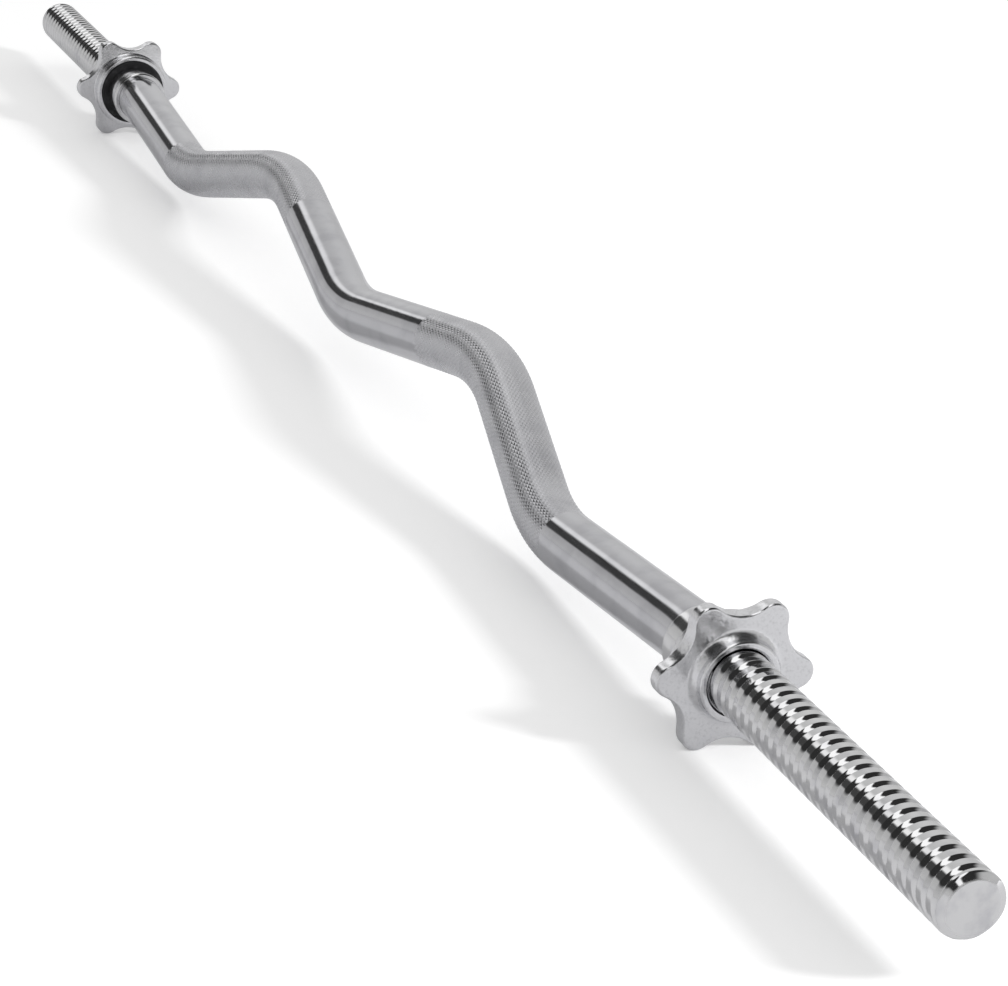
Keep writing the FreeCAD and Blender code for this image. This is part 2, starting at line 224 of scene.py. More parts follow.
class CurlBarFinish(bpy.types.PropertyGroup):
    """Colours of the metal and rubber."""

    steel: colour("Bar chrome", "Colour of the bar's satin chrome", (0.63, 0.63, 0.65))
    steel_dull: colour("Bar chrome, handled", "The same where hands have dulled it", (0.55, 0.55, 0.572))
    bright: colour("Collar chrome", "Colour of the stop collars' bright chrome", (0.76, 0.76, 0.765))
    casting: colour("Casting", "Colour of the star collars' plating", (0.81, 0.81, 0.825))
    casting_dull: colour("Casting, dull", "The same in its dull spots", (0.70, 0.70, 0.715))
    rubber: colour("Rubber", "Colour of the rings' rubber", (0.014, 0.014, 0.015))
    rubber_dusty: colour("Rubber, dusty", "The same where it is dusty", (0.035, 0.035, 0.037))


class CurlBarStudio(bpy.types.PropertyGroup):
    """Light, floor and the soft bands that bright metal mirrors."""

    floor: colour("Floor", "Colour of the floor", (0.90, 0.90, 0.90))
    floor_in_metal: colour("Floor in metal", "Colour of the floor as metal mirrors it", (0.69, 0.69, 0.70))
    floor_glow: brightness("Floor glow", "White that the camera sees on the floor besides its light", 0.22)
    dome: brightness("Dome", "Strength of the white dome's soft light", 0.70)
    key: brightness("Key light", "Power of the soft key light in watts", 34.0)
    haze: share("Band grey", "Grey of the dome as bright metal mirrors it", 0.62)
    dark: share("Dark band", "Grey of the dark band that bright metal mirrors", 0.06)
    bright: brightness("Bright band", "Strength of the white band that bright metal mirrors", 1.05)
    room: share("Dark room", "Grey of the room on the camera's side as bright metal mirrors it", 0.03)
    window: brightness("Window", "Strength of the white window in the dark room", 1.25)


# Mesh building

NO_TRIANGLES = np.zeros((0, 3), dtype=np.int32)


def around(columns):
    """Angles of the columns of a grid that closes on itself about the X axis."""
    return np.arange(columns) * (2 * math.pi / columns)


def turned_points(places, radii, angles):
    """Points of a surface about the X axis: each row's place along X, and its radius times the angle's cosine
    and sine across."""
    shape = np.broadcast_shapes(np.shape(places), np.shape(radii), np.shape(angles))
    return np.stack([
        np.broadcast_to(places, shape),
        np.broadcast_to(radii * np.cos(angles), shape),
        np.broadcast_to(radii * np.sin(angles), shape),
    ], axis=-1)


def grid_corners(rows, columns, closed_rows):
    """Corner numbers of the four-sided faces of a grid whose columns close on themselves, and whose rows do
    too where asked."""
    row = np.arange(rows if closed_rows else rows - 1)[:, None]
    column = np.arange(columns)[None, :]
    next_row = (row + 1) % rows
    next_column = (column + 1) % columns
    first = row * columns + column
    second = row * columns + next_column
    third = next_row * columns + next_column
    fourth = next_row * columns + column
    return np.stack([first, second, third, fourth], axis=-1)


def fill_mesh(name, points, quads, triangles, flat_triangles):
    """A new object at the origin from points and corner numbers.  The last triangles are shaded flat, and
    take the object's second material where it has one."""
    mesh = bpy.data.meshes.new(name)
    faces = [quads.reshape(-1, 4), triangles.reshape(-1, 3), flat_triangles.reshape(-1, 3)]
    corners = np.concatenate([part.ravel() for part in faces]).astype(np.int32)
    sides = np.concatenate([np.full(len(part), part.shape[1]) for part in faces])
    starts = np.concatenate([[0], np.cumsum(sides)[:-1]]).astype(np.int32)
    smooth = np.arange(len(sides)) < len(sides) - len(faces[-1])
    mesh.vertices.add(len(points))
    mesh.vertices.foreach_set("co", np.ascontiguousarray(points, dtype=np.float32).ravel())
    mesh.loops.add(len(corners))
    mesh.loops.foreach_set("vertex_index", corners)
    mesh.polygons.add(len(sides))
    mesh.polygons.foreach_set("loop_start", starts)
    mesh.polygons.foreach_set("use_smooth", smooth)
    mesh.polygons.foreach_set("material_index", np.logical_not(smooth).astype(np.int32))
    mesh.update(calc_edges=True)
    if mesh.validate():
        raise RuntimeError("%s has faces that do not hold together" % name)
    piece = bpy.data.objects.new(name, mesh)
    bpy.context.collection.objects.link(piece)
    return piece


def capped_tube(name, grid, diamond_rows=None):
    """An object from rows of points round a bar, closed by a fan at each end.  In the rows marked as diamonds
    each face is split along the groove that crosses it, so the knurl's grooves lie on edges."""
    rows, columns = grid.shape[:2]
    quads = grid_corners(rows, columns, False)
    points = np.concatenate([grid.reshape(-1, 3), grid[0].mean(axis=0)[None], grid[-1].mean(axis=0)[None]])
    start, end = rows * columns, rows * columns + 1
    column = np.arange(columns)
    next_column = (column + 1) % columns
    last = (rows - 1) * columns
    caps = np.concatenate([
        np.stack([next_column, column, np.full(columns, start)], axis=-1),
        np.stack([last + column, last + next_column, np.full(columns, end)], axis=-1),
    ])
    if diamond_rows is None:
        return fill_mesh(name, points, quads, caps, NO_TRIANGLES)
    row = np.arange(rows - 1)[:, None]
    even = ((row + column[None, :]) % 2 == 0)[..., None]
    one = np.where(even, quads[..., [0, 1, 2]], quads[..., [0, 1, 3]])
    two = np.where(even, quads[..., [0, 2, 3]], quads[..., [1, 2, 3]])
    facets = np.concatenate([one[diamond_rows].reshape(-1, 3), two[diamond_rows].reshape(-1, 3)])
    return fill_mesh(name, points, quads[~diamond_rows], caps, facets)


def closed_ring(name, grid):
    """An object from rows of points round a ring, where the last row meets the first."""
    rows, columns = grid.shape[:2]
    quads = grid_corners(rows, columns, True)
    return fill_mesh(name, grid.reshape(-1, 3), quads, NO_TRIANGLES, NO_TRIANGLES)


def rounded_outline(corners, radii):
    """A closed outline with rounded corners.  Each corner gives way to an arc that touches both of its sides:
    the arc's centre lies on the corner's bisector at radius / sin(half angle), and its points are the two
    touching points mixed by sines.  Further points stand at set stations on each straight side."""
    before = np.roll(corners, 1, axis=-2) - corners
    after = np.roll(corners, -1, axis=-2) - corners
    before = before / np.linalg.norm(before, axis=-1, keepdims=True)
    after = after / np.linalg.norm(after, axis=-1, keepdims=True)
    half = np.arccos(np.clip((before * after).sum(axis=-1), -1, 1)) / 2
    bisector = before + after
    bisector = bisector / np.linalg.norm(bisector, axis=-1, keepdims=True)
    radii = np.broadcast_to(radii, half.shape)
    reach = (radii / np.tan(half))[..., None]
    centre = corners + bisector * (radii / np.sin(half))[..., None]
    start = corners + before * reach
    end = corners + after * reach
    sweep = (math.pi - 2 * half)[..., None, None]
    part = np.linspace(0, 1, ARC_POINTS)[:, None]
    weights = np.sin((1 - part) * sweep), np.sin(part * sweep)
    arcs = (start - centre)[..., None, :] * weights[0] + (end - centre)[..., None, :] * weights[1]
    arcs = centre[..., None, :] + arcs / np.sin(sweep)
    next_start = np.roll(start, -1, axis=-2)
    along = np.array(SIDE_STATIONS)[:, None]
    sides = end[..., None, :] * (1 - along) + next_start[..., None, :] * along
    outline = np.concatenate([arcs, sides], axis=-2)
    return outline.reshape(*outline.shape[:-3], -1, 2)


def to_left(grid):
    """The same points half a turn about the Z axis, from the right sleeve to the left one."""
    return grid * np.array([-1.0, -1.0, 1.0])


def lift(grid, height):
    """The same points with the X axis raised to the sleeves' height."""
    return grid + np.array([0.0, 0.0, height])


def running_sum(values, step):
    """The running area under a line of values a step apart, by the mean of each two neighbours."""
    return np.append(0, np.cumsum((values[1:] + values[:-1]) / 2 * step))


# Shapes


def wave_line(wave):
    """Distance along the bar, and the place and heading of its centre line in the wave's own plane.  The
    heading is a sum of ramps, one for each bend, and the place is the running sum of the heading's cosine and
    sine."""
    half = np.array([
        (wave.knee_place, wave.knee_rise),
        (wave.outer_place, -wave.outer_drop),
        (wave.sleeve_place, 0.0),
        (wave.tip, 0.0),
    ])
    corners = np.concatenate([half[::-1] * (-1, 1), [(0.0, -wave.centre_drop)], half])
    runs = np.diff(corners, axis=0)
    headings = np.arctan2(runs[:, 1], runs[:, 0])
    turns = np.diff(headings)
    cut = wave.bend_radius * np.tan(np.abs(turns) / 2)
    arcs = wave.bend_radius * np.abs(turns)
    straights = np.linalg.norm(runs, axis=1) - np.append(cut, 0) - np.append(0, cut)
    arc_starts = np.cumsum(straights[:-1]) + np.append(0, np.cumsum(arcs)[:-1])
    total = straights.sum() + arcs.sum()
    distance = np.linspace(0, total, LINE_SAMPLES)
    ramps = np.clip((distance[:, None] - arc_starts) / arcs, 0, 1)
    heading = headings[0] + ramps @ turns
    across = running_sum(np.cos(heading), distance[1]) - wave.tip
    rise = running_sum(np.sin(heading), distance[1])
    return distance, across, rise, heading


def bent_bar_points(wave, knurl, sleeve_start):
    """Points of the bent bar and marks for its knurled rows.  A circle rides along the centre line, square to
    its heading, and in the knurled rows every second point lies in a groove, like the dark squares of a chess
    board."""
    distance, across, rise, heading = wave_line(wave)
    columns = 2 * knurl.diamonds
    diamond_length = 2 * math.pi * wave.radius / knurl.diamonds / math.tan(knurl.helix)
    stations = [-sleeve_start, -knurl.outer, -knurl.inner, knurl.inner, knurl.outer, sleeve_start]
    is_knurled = [False, True, False, True, False]
    ends = np.interp(stations, across, distance)
    pieces = []
    marks = []
    for start, end, diamonds in zip(ends[:-1], ends[1:], is_knurled):
        run = end - start
        steps = 2 * round(run / diamond_length) if diamonds else math.ceil(run / wave.row_step)
        pieces.append(np.linspace(start, end, steps + 1)[:-1])
        marks.append(np.full(steps, diamonds))
    rows = np.append(np.concatenate(pieces), ends[-1])
    knurled = np.concatenate(marks)
    grooved = np.append(knurled, False) & np.append(False, knurled)
    checker = (np.arange(len(rows))[:, None] + np.arange(columns)[None, :]) % 2 == 0
    radius = wave.radius - knurl.depth * (checker & grooved[:, None])
    angle = around(columns)
    x = np.interp(rows, distance, across)[:, None]
    y = np.interp(rows, distance, rise)[:, None]
    facing = np.interp(rows, distance, heading)[:, None]
    level = y + radius * np.cos(angle) * np.cos(facing)
    upright = radius * np.sin(angle)
    grid = np.stack([
        x - radius * np.cos(angle) * np.sin(facing),
        level * math.cos(wave.tilt) - upright * math.sin(wave.tilt),
        level * math.sin(wave.tilt) + upright * math.cos(wave.tilt),
    ], axis=-1)
    return grid, knurled


def groove_shape(places, angles, pitch, width):
    """Depth, from 0 to 1, of a right-handed helical groove: a raised cosine of the given share of the pitch,
    centred half a pitch from where the place over the pitch equals the angle over a full turn."""
    phase = (places / pitch - angles / (2 * math.pi)) % 1.0 - 0.5
    inside = np.clip(np.abs(phase) / (width / 2), 0, 1)
    return (1 + np.cos(math.pi * inside)) / 2


def threaded_end_points(thread, wave, start):
    """Points of one threaded sleeve: its radius is the crest less the helical groove, cut by a cone at the
    tip, then a flat end that closes to the axis."""
    angle = around(THREAD_COLUMNS)[None, :]
    step = thread.pitch / thread.steps
    flat = thread.crest - thread.chamfer
    places = np.append(np.arange(start, wave.tip - LAST_STEP * step, step), wave.tip - CRISP_EDGE)[:, None]
    radius = thread.crest - thread.depth * groove_shape(places, angle, thread.pitch, thread.groove)
    radius = np.minimum(radius, flat + (wave.tip - places) * thread.chamfer / thread.chamfer_run)
    inward = np.array(FACE_RINGS)[:, None]
    face_places = np.full_like(inward, wave.tip)
    face_radius = flat * inward * np.ones_like(angle)
    return turned_points(np.concatenate([places, face_places]), np.concatenate([radius, face_radius]), angle)


def ring_points(start, end, bore, radius, bore_edge, outer_edge):
    """Points of a turned ring with four rounded corners, two at its bore and two outside, carried round the X
    axis."""
    corners = np.array([(start, bore), (start, radius), (end, radius), (end, bore)])
    outline = rounded_outline(corners, np.array([bore_edge, outer_edge, outer_edge, bore_edge]))
    return turned_points(outline[:, :1], outline[:, 1:], around(RING_COLUMNS)[None, :])


def star_reach(collars, angle):
    """Distance from the axis to the star's edge.  Near an arm's middle it is a lobe's circle seen from the
    axis, c cos(a) + sqrt(r^2 - c^2 sin^2(a)), and between arms the hollow's circle, which touches both
    lobes."""
    sector = math.pi / LOBES
    away = np.abs((angle + sector) % (2 * sector) - sector)
    lobe = collars.lobe_radius
    middle = collars.star_radius - lobe
    along = middle * math.cos(sector)
    side = middle * math.sin(sector)
    hollow = collars.hollow
    hollow_round = ((hollow - along) ** 2 + side ** 2 - lobe ** 2) / (2 * (lobe - hollow + along))
    centre = hollow + hollow_round
    toward = np.array([centre * math.cos(sector) - middle, centre * math.sin(sector)])
    touch = np.array([middle, 0.0]) + toward / np.linalg.norm(toward) * lobe
    touch_angle = math.atan2(touch[1], touch[0])
    lobe_part = np.minimum(away, touch_angle)
    hollow_part = sector - np.maximum(away, touch_angle)
    on_lobe = middle * np.cos(lobe_part) + np.sqrt(lobe ** 2 - (middle * np.sin(lobe_part)) ** 2)
    hollow_side = np.sqrt(hollow_round ** 2 - (centre * np.sin(hollow_part)) ** 2)
    in_hollow = centre * np.cos(hollow_part) - hollow_side
    return np.where(away < touch_angle, on_lobe, in_hollow)


def star_collar_points(collars, thread, local_turn):
    """Points of a star collar: at every angle about the axis a closed outline with rounded corners, whose rim
    lies at the star's edge for that angle, and a bore with a helical ridge that runs in the bar's groove."""
    angle = around(STAR_COLUMNS)
    reach = star_reach(collars, angle - local_turn)
    start = collars.star_start
    floor = start + collars.groove_depth
    plate = start + collars.flange_height
    back = plate + collars.plate
    mouth = back + collars.boss_height
    bevel = collars.bore_chamfer
    shoulder = collars.flange + collars.flange_flare + SHOULDER_STEP
    thinner = collars.slope * (reach - shoulder) / (collars.star_radius - shoulder)
    rim_front = 9
    rim_back = 10
    outline = np.array([
        (start + bevel, collars.bore, CRISP_EDGE),
        (start, collars.bore + bevel, CRISP_EDGE),
        (start, collars.lip, CRISP_EDGE),
        (floor, collars.lip, CRISP_EDGE),
        (floor, collars.rim, CRISP_EDGE),
        (start, collars.rim, CRISP_EDGE),
        (start, collars.flange, collars.flange_edge),
        (plate, collars.flange, collars.flange_flare * FLARE_FIT),
        (plate, shoulder, CRISP_EDGE),
        (plate, collars.star_radius, collars.inner_edge),
        (back, collars.star_radius, collars.outer_edge),
        (back, collars.boss, collars.boss_flare),
        (mouth, collars.boss, collars.boss_edge),
        (mouth, collars.bore + bevel, CRISP_EDGE),
        (mouth - bevel, collars.bore, CRISP_EDGE),
    ])
    corners = np.tile(outline[:, :2], (STAR_COLUMNS, 1, 1))
    corners[:, rim_front, 0] = plate + thinner
    corners[:, rim_front, 1] = reach
    corners[:, rim_back, 1] = reach
    section = np.swapaxes(rounded_outline(corners, outline[:, 2]), 0, 1)
    section = section[:-len(SIDE_STATIONS)]
    wall = turned_points(section[..., 0], section[..., 1], angle[None, :])

    bore_start = start + bevel
    bore_end = mouth - bevel
    places = np.linspace(bore_end - BORE_INSET, bore_start + BORE_INSET, BORE_ROWS)[:, None]
    ridge = groove_shape(places, angle[None, :], thread.pitch, thread.groove * RIDGE_WIDTH)
    ridge = ridge * np.clip((bore_end - places) / RIDGE_RUN_OUT, 0, 1)
    ridge = ridge * np.clip((places - bore_start) / RIDGE_RUN_OUT, 0, 1)
    ridge_height = collars.bore - thread.crest + thread.depth * RIDGE_HEIGHT
    bore = turned_points(places, collars.bore - ridge_height * ridge, angle[None, :])
    return np.concatenate([wall, bore])


# Materials


def empty_tree(owner):
    """The node tree of a material or a world, emptied."""
    owner.use_nodes = True
    owner.node_tree.nodes.clear()
    return owner.node_tree


def new_finish(name, metallic):
    """A material, its node tree and its shader, with nothing else in the tree but the output."""
    material = bpy.data.materials.new(name)
    tree = empty_tree(material)
    output = tree.nodes.new("ShaderNodeOutputMaterial")
    shader = tree.nodes.new("ShaderNodeBsdfPrincipled")
    shader.inputs["Metallic"].default_value = metallic
    tree.links.new(shader.outputs["BSDF"], output.inputs["Surface"])
    return material, tree, shader


def grain(tree, scale, detail, stretch=(1.0, 1.0, 1.0)):
    """A noise on the piece's own coordinates.  Scale is about the number of grains in a metre, and a stretch
    below 1 draws them out along that axis."""
    place = tree.nodes.new("ShaderNodeTexCoord")
    mapping = tree.nodes.new("ShaderNodeMapping")
    mapping.inputs["Scale"].default_value = stretch
    noise = tree.nodes.new("ShaderNodeTexNoise")
    noise.inputs["Scale"].default_value = scale
    noise.inputs["Detail"].default_value = detail
    tree.links.new(place.outputs["Object"], mapping.inputs["Vector"])
    tree.links.new(mapping.outputs["Vector"], noise.inputs["Vector"])
    return noise.outputs["Fac"]


def calculated(tree, operation, *values):
    """The result of a sum, an angle or the like on one or two values."""
    node = tree.nodes.new("ShaderNodeMath")
    node.operation = operation
    for number, value in enumerate(values):
        tree.links.new(value, node.inputs[number])
    return node.outputs["Value"]


def from_middle(tree):
    """Distance along the bar from its middle, on the piece's own coordinates."""
    place = tree.nodes.new("ShaderNodeTexCoord")
    parts = tree.nodes.new("ShaderNodeSeparateXYZ")
    tree.links.new(place.outputs["Object"], parts.inputs["Vector"])
    return calculated(tree, "ABSOLUTE", parts.outputs["X"])


def spread(tree, value, between, to=(0.0, 1.0)):
    """A value carried smoothly from one range to another, held at its ends."""
    node = tree.nodes.new("ShaderNodeMapRange")
    node.interpolation_type = "SMOOTHSTEP"
    node.inputs["From Min"].default_value = between[0]
    node.inputs["From Max"].default_value = between[1]
    node.inputs["To Min"].default_value = to[0]
    node.inputs["To Max"].default_value = to[1]
    tree.links.new(value, node.inputs["Value"])
    return node.outputs["Result"]


def tint(tree, amount, first, second):
    """A colour between two, by an amount from 0 to 1."""
    node = tree.nodes.new("ShaderNodeMix")
    node.data_type = "RGBA"
    node.inputs["A"].default_value = (*first, 1.0)
    node.inputs["B"].default_value = (*second, 1.0)
    tree.links.new(amount, node.inputs["Factor"])
    return node.outputs["Result"]


def bump(tree, height, strength, distance, under=None):
    """A normal roughened by a height, on top of another where given."""
    node = tree.nodes.new("ShaderNodeBump")
    node.inputs["Strength"].default_value = strength
    node.inputs["Distance"].default_value = distance
    tree.links.new(height, node.inputs["Height"])
    if under is not None:
        tree.links.new(under, node.inputs["Normal"])
    return node.outputs["Normal"]


def dress(tree, shader, base, roughness, normal=None):
    """Feed a shader its colour, its roughness and, where given, its normal."""
    tree.links.new(base, shader.inputs["Base Color"])
    tree.links.new(roughness, shader.inputs["Roughness"])
    if normal is not None:
        tree.links.new(normal, shader.inputs["Normal"])


def satin_chrome(finish):
    """Drawn bar under chrome: fine lines along its length and faint hand marks."""
    material, tree, shader = new_finish("satin_chrome", metallic=1.0)
    lines = grain(tree, scale=900.0, detail=3.0, stretch=(0.03, 1.0, 1.0))
    marks = grain(tree, scale=70.0, detail=4.0)
    base = tint(tree, spread(tree, marks, between=(0.42, 0.70)), finish.steel, finish.steel_dull)
    roughness = spread(tree, lines, between=(0.30, 0.72), to=(0.08, 0.15))
    dress(tree, shader, base, roughness, bump(tree, lines, strength=0.06, distance=0.0001))
    return material


def knurl_chrome(finish):
    """Chrome on the rolled knurl, worn softer than the smooth stretches."""
    material, tree, shader = new_finish("knurl_chrome", metallic=1.0)
    wear = grain(tree, scale=260.0, detail=4.0)
    marks = grain(tree, scale=60.0, detail=4.0)
    base = tint(tree, spread(tree, marks, between=(0.42, 0.70)), finish.steel, finish.steel_dull)
    dress(tree, shader, base, spread(tree, wear, between=(0.30, 0.72), to=(0.24, 0.32)))
    return material


def thread_chrome(finish, tip):
    """Brighter chrome on the rolled thread, with fine rings left by the rolls and duller sawn ends."""
    material, tree, shader = new_finish("thread_chrome", metallic=1.0)
    rings = grain(tree, scale=700.0, detail=3.0, stretch=(1.0, 0.12, 0.12))
    marks = grain(tree, scale=120.0, detail=4.0)
    base = tint(tree, spread(tree, marks, between=(0.45, 0.75)), finish.bright, finish.steel)
    polish = spread(tree, rings, between=(0.30, 0.75), to=(0.05, 0.10))
    sawn_start = tip - SAWN_DEPTH
    sawn = spread(tree, from_middle(tree), between=(sawn_start, sawn_start + SAWN_BLEND), to=(0.0, 0.26))
    roughness = calculated(tree, "ADD", polish, sawn)
    dress(tree, shader, base, roughness, bump(tree, rings, strength=0.06, distance=0.0001))
    return material


def bright_chrome(finish):
    """Polished chrome of the stop collars, with fine turning lines."""
    material, tree, shader = new_finish("bright_chrome", metallic=1.0)
    rings = grain(tree, scale=1500.0, detail=2.0, stretch=(1.0, 0.05, 0.05))
    marks = grain(tree, scale=150.0, detail=3.0)
    base = tint(tree, spread(tree, marks, between=(0.45, 0.75)), finish.bright, finish.steel)
    roughness = spread(tree, rings, between=(0.30, 0.75), to=(0.08, 0.16))
    dress(tree, shader, base, roughness, bump(tree, rings, strength=0.05, distance=0.0001))
    return material


def plated_casting(finish):
    """Chrome over a casting that was tumbled, not ground: soft waves, small pits and dull spots."""
    material, tree, shader = new_finish("plated_casting", metallic=1.0)
    waves = grain(tree, scale=210.0, detail=2.0)
    pits = grain(tree, scale=900.0, detail=4.0)
    base = tint(tree, spread(tree, pits, between=(0.48, 0.72)), finish.casting, finish.casting_dull)
    roughness = spread(tree, waves, between=(0.35, 0.70), to=(0.17, 0.27))
    soft = bump(tree, waves, strength=0.14, distance=0.0012)
    dress(tree, shader, base, roughness, bump(tree, pits, strength=0.05, distance=0.0003, under=soft))
    return material


def black_rubber(finish):
    """Moulded rubber: nearly black, matt, with a fine bloom of dust."""
    material, tree, shader = new_finish("black_rubber", metallic=0.0)
    bloom = grain(tree, scale=260.0, detail=4.0)
    pores = grain(tree, scale=2600.0, detail=3.0)
    base = tint(tree, spread(tree, bloom, between=(0.45, 0.72)), finish.rubber, finish.rubber_dusty)
    roughness = spread(tree, pores, between=(0.30, 0.70), to=(0.48, 0.68))
    dress(tree, shader, base, roughness, bump(tree, pores, strength=0.20, distance=0.0001))
    shader.inputs["Specular IOR Level"].default_value = 0.25
    return material


def finished(piece, material, body, node):
    """Give a piece its material and the body it moves with, and hide the solid it stands for."""
    piece.data.materials.append(material)
    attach(piece, body)
    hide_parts(node)


# Stage


def grey_bands(tree, amount, stops):
    """Greys at given degrees about the bar's length, from 0 at the +Y horizon to 180 at the other, blended
    between."""
    ramp = tree.nodes.new("ShaderNodeValToRGB")
    ramp.color_ramp.interpolation = "EASE"
    elements = ramp.color_ramp.elements
    elements.remove(elements[1])
    first_grey = stops[0][1]
    elements[0].position = 0.0
    elements[0].color = (first_grey, first_grey, first_grey, 1.0)
    for degrees, grey in stops[1:]:
        element = elements.new(degrees / HALF_TURN_DEGREES)
        element.color = (grey, grey, grey, 1.0)
    tree.links.new(amount, ramp.inputs["Fac"])
    return ramp.outputs["Color"]


def by_ray(tree, ray, usual, special):
    """One shader for rays of a kind, and another for all others."""
    node = tree.nodes.new("ShaderNodeMixShader")
    tree.links.new(ray, node.inputs["Fac"])
    tree.links.new(usual, node.inputs[1])
    tree.links.new(special, node.inputs[2])
    return node.outputs["Shader"]


def studio_world(studio):
    """A white dome.  The camera sees white, matt surfaces get its soft light, and bright metal mirrors bands
    that depend on the angle about the bar's length, with a dark room and its white window on the camera's
    side."""
    world = bpy.data.worlds.new("studio")
    tree = empty_tree(world)
    nodes = tree.nodes
    links = tree.links
    output = nodes.new("ShaderNodeOutputWorld")
    rays = nodes.new("ShaderNodeLightPath")
    place = nodes.new("ShaderNodeTexCoord")
    parts = nodes.new("ShaderNodeSeparateXYZ")
    links.new(place.outputs["Generated"], parts.inputs["Vector"])
    whole = nodes.new("ShaderNodeMapRange")
    whole.inputs["From Min"].default_value = 0.0
    whole.inputs["From Max"].default_value = math.pi
    links.new(calculated(tree, "ARCTAN2", parts.outputs["Z"], parts.outputs["Y"]), whole.inputs["Value"])
    sky = grey_bands(tree, whole.outputs["Result"], (
        (0.0, studio.haze),
        (50.0, studio.haze * 1.15),
        (96.0, studio.haze),
        (108.0, studio.bright),
        (116.0, studio.bright),
        (124.0, studio.dark),
        (146.0, studio.dark),
        (152.0, studio.haze * 0.85),
        (180.0, studio.haze),
    ))
    room = grey_bands(tree, whole.outputs["Result"], (
        (0.0, studio.haze),
        (26.0, studio.haze * 0.9),
        (44.0, studio.room),
        (78.0, studio.room),
        (84.0, studio.window),
        (101.0, studio.window),
        (107.0, studio.room),
        (142.0, studio.room),
        (156.0, studio.haze * 0.8),
        (180.0, studio.haze),
    ))
    bands = nodes.new("ShaderNodeMix")
    bands.data_type = "RGBA"
    links.new(spread(tree, parts.outputs["X"], between=(ROOM_BEGINS, ROOM_FILLS)), bands.inputs["Factor"])
    links.new(sky, bands.inputs["A"])
    links.new(room, bands.inputs["B"])
    mirrored = nodes.new("ShaderNodeBackground")
    links.new(bands.outputs["Result"], mirrored.inputs["Color"])
    soft = nodes.new("ShaderNodeBackground")
    soft.inputs["Color"].default_value = WHITE
    soft.inputs["Strength"].default_value = studio.dome
    white = nodes.new("ShaderNodeBackground")
    white.inputs["Color"].default_value = WHITE
    unseen = by_ray(
        tree, rays.outputs["Is Glossy Ray"], soft.outputs["Background"], mirrored.outputs["Background"])
    dome = by_ray(tree, rays.outputs["Is Camera Ray"], unseen, white.outputs["Background"])
    links.new(dome, output.inputs["Surface"])
    return world


def floor_finish(studio):
    """A white floor that keeps soft shadows, a little greyer where metal mirrors it."""
    material = bpy.data.materials.new("studio_floor")
    tree = empty_tree(material)
    nodes = tree.nodes
    links = tree.links
    output = nodes.new("ShaderNodeOutputMaterial")
    rays = nodes.new("ShaderNodeLightPath")
    matt = nodes.new("ShaderNodeBsdfDiffuse")
    shade = tint(tree, rays.outputs["Is Glossy Ray"], studio.floor, studio.floor_in_metal)
    links.new(shade, matt.inputs["Color"])
    strength = nodes.new("ShaderNodeMath")
    strength.operation = "MULTIPLY"
    strength.inputs[1].default_value = studio.floor_glow
    links.new(rays.outputs["Is Camera Ray"], strength.inputs[0])
    glow = nodes.new("ShaderNodeEmission")
    links.new(strength.outputs["Value"], glow.inputs["Strength"])
    both = nodes.new("ShaderNodeAddShader")
    links.new(matt.outputs["BSDF"], both.inputs[0])
    links.new(glow.outputs["Emission"], both.inputs[1])
    links.new(both.outputs["Shader"], output.inputs["Surface"])
    return material


def add_floor(studio):
    """A flat square grid on the ground."""
    posts = FLOOR_CELLS + 1
    side = np.linspace(-FLOOR_REACH, FLOOR_REACH, posts)
    across, along = np.meshgrid(side, side)
    points = np.stack([across, along, np.zeros_like(across)], axis=-1).reshape(-1, 3)
    cell = np.arange(FLOOR_CELLS)
    corner = (cell[:, None] * posts + cell[None, :]).reshape(-1)
    quads = np.stack([corner, corner + 1, corner + posts + 1, corner + posts], axis=-1)
    floor = fill_mesh("studio_floor", points, quads, NO_TRIANGLES, NO_TRIANGLES)
    floor.data.materials.append(floor_finish(studio))


def frame_matrix(right, up, back, place):
    """A matrix from three directions and a place."""
    columns = np.eye(4)
    columns[:3, 0] = right
    columns[:3, 1] = up
    columns[:3, 2] = back
    columns[:3, 3] = place
    return Matrix(columns.tolist())


def unit(vector):
    """The vector of length 1 in the same direction."""
    return vector / np.linalg.norm(vector)


def add_key_light(collection, studio):
    """A round soft lamp that looks at the origin and that metal does not mirror."""
    key = bpy.data.lights.new("key_light", "AREA")
    key.energy = studio.key
    key.shape = "DISK"
    key.size = KEY_SIZE
    lamp = bpy.data.objects.new("key_light", key)
    lamp.visible_glossy = False
    toward = unit(np.array(KEY_TOWARD))
    sideways = unit(np.cross((0.0, 0.0, 1.0), toward))
    upward = np.cross(toward, sideways)
    lamp.matrix_world = frame_matrix(sideways, upward, toward, toward * KEY_DISTANCE)
    collection.objects.link(lamp)


def add_camera(collection):
    """A camera at the photograph's eye, with the photograph's field of view."""
    lens = bpy.data.cameras.new("photo_camera")
    lens.sensor_width = SENSOR_WIDTH
    lens.sensor_fit = "HORIZONTAL"
    lens.lens = FOCAL_PIXELS * SENSOR_WIDTH / PICTURE_WIDTH
    lens.clip_end = VIEW_DEPTH
    camera = bpy.data.objects.new("photo_camera", lens)
    camera.matrix_world = frame_matrix(EYE_RIGHT, EYE_UP, -np.array(EYE_FORWARD), EYE)
    collection.objects.link(camera)
    return camera


# Operators


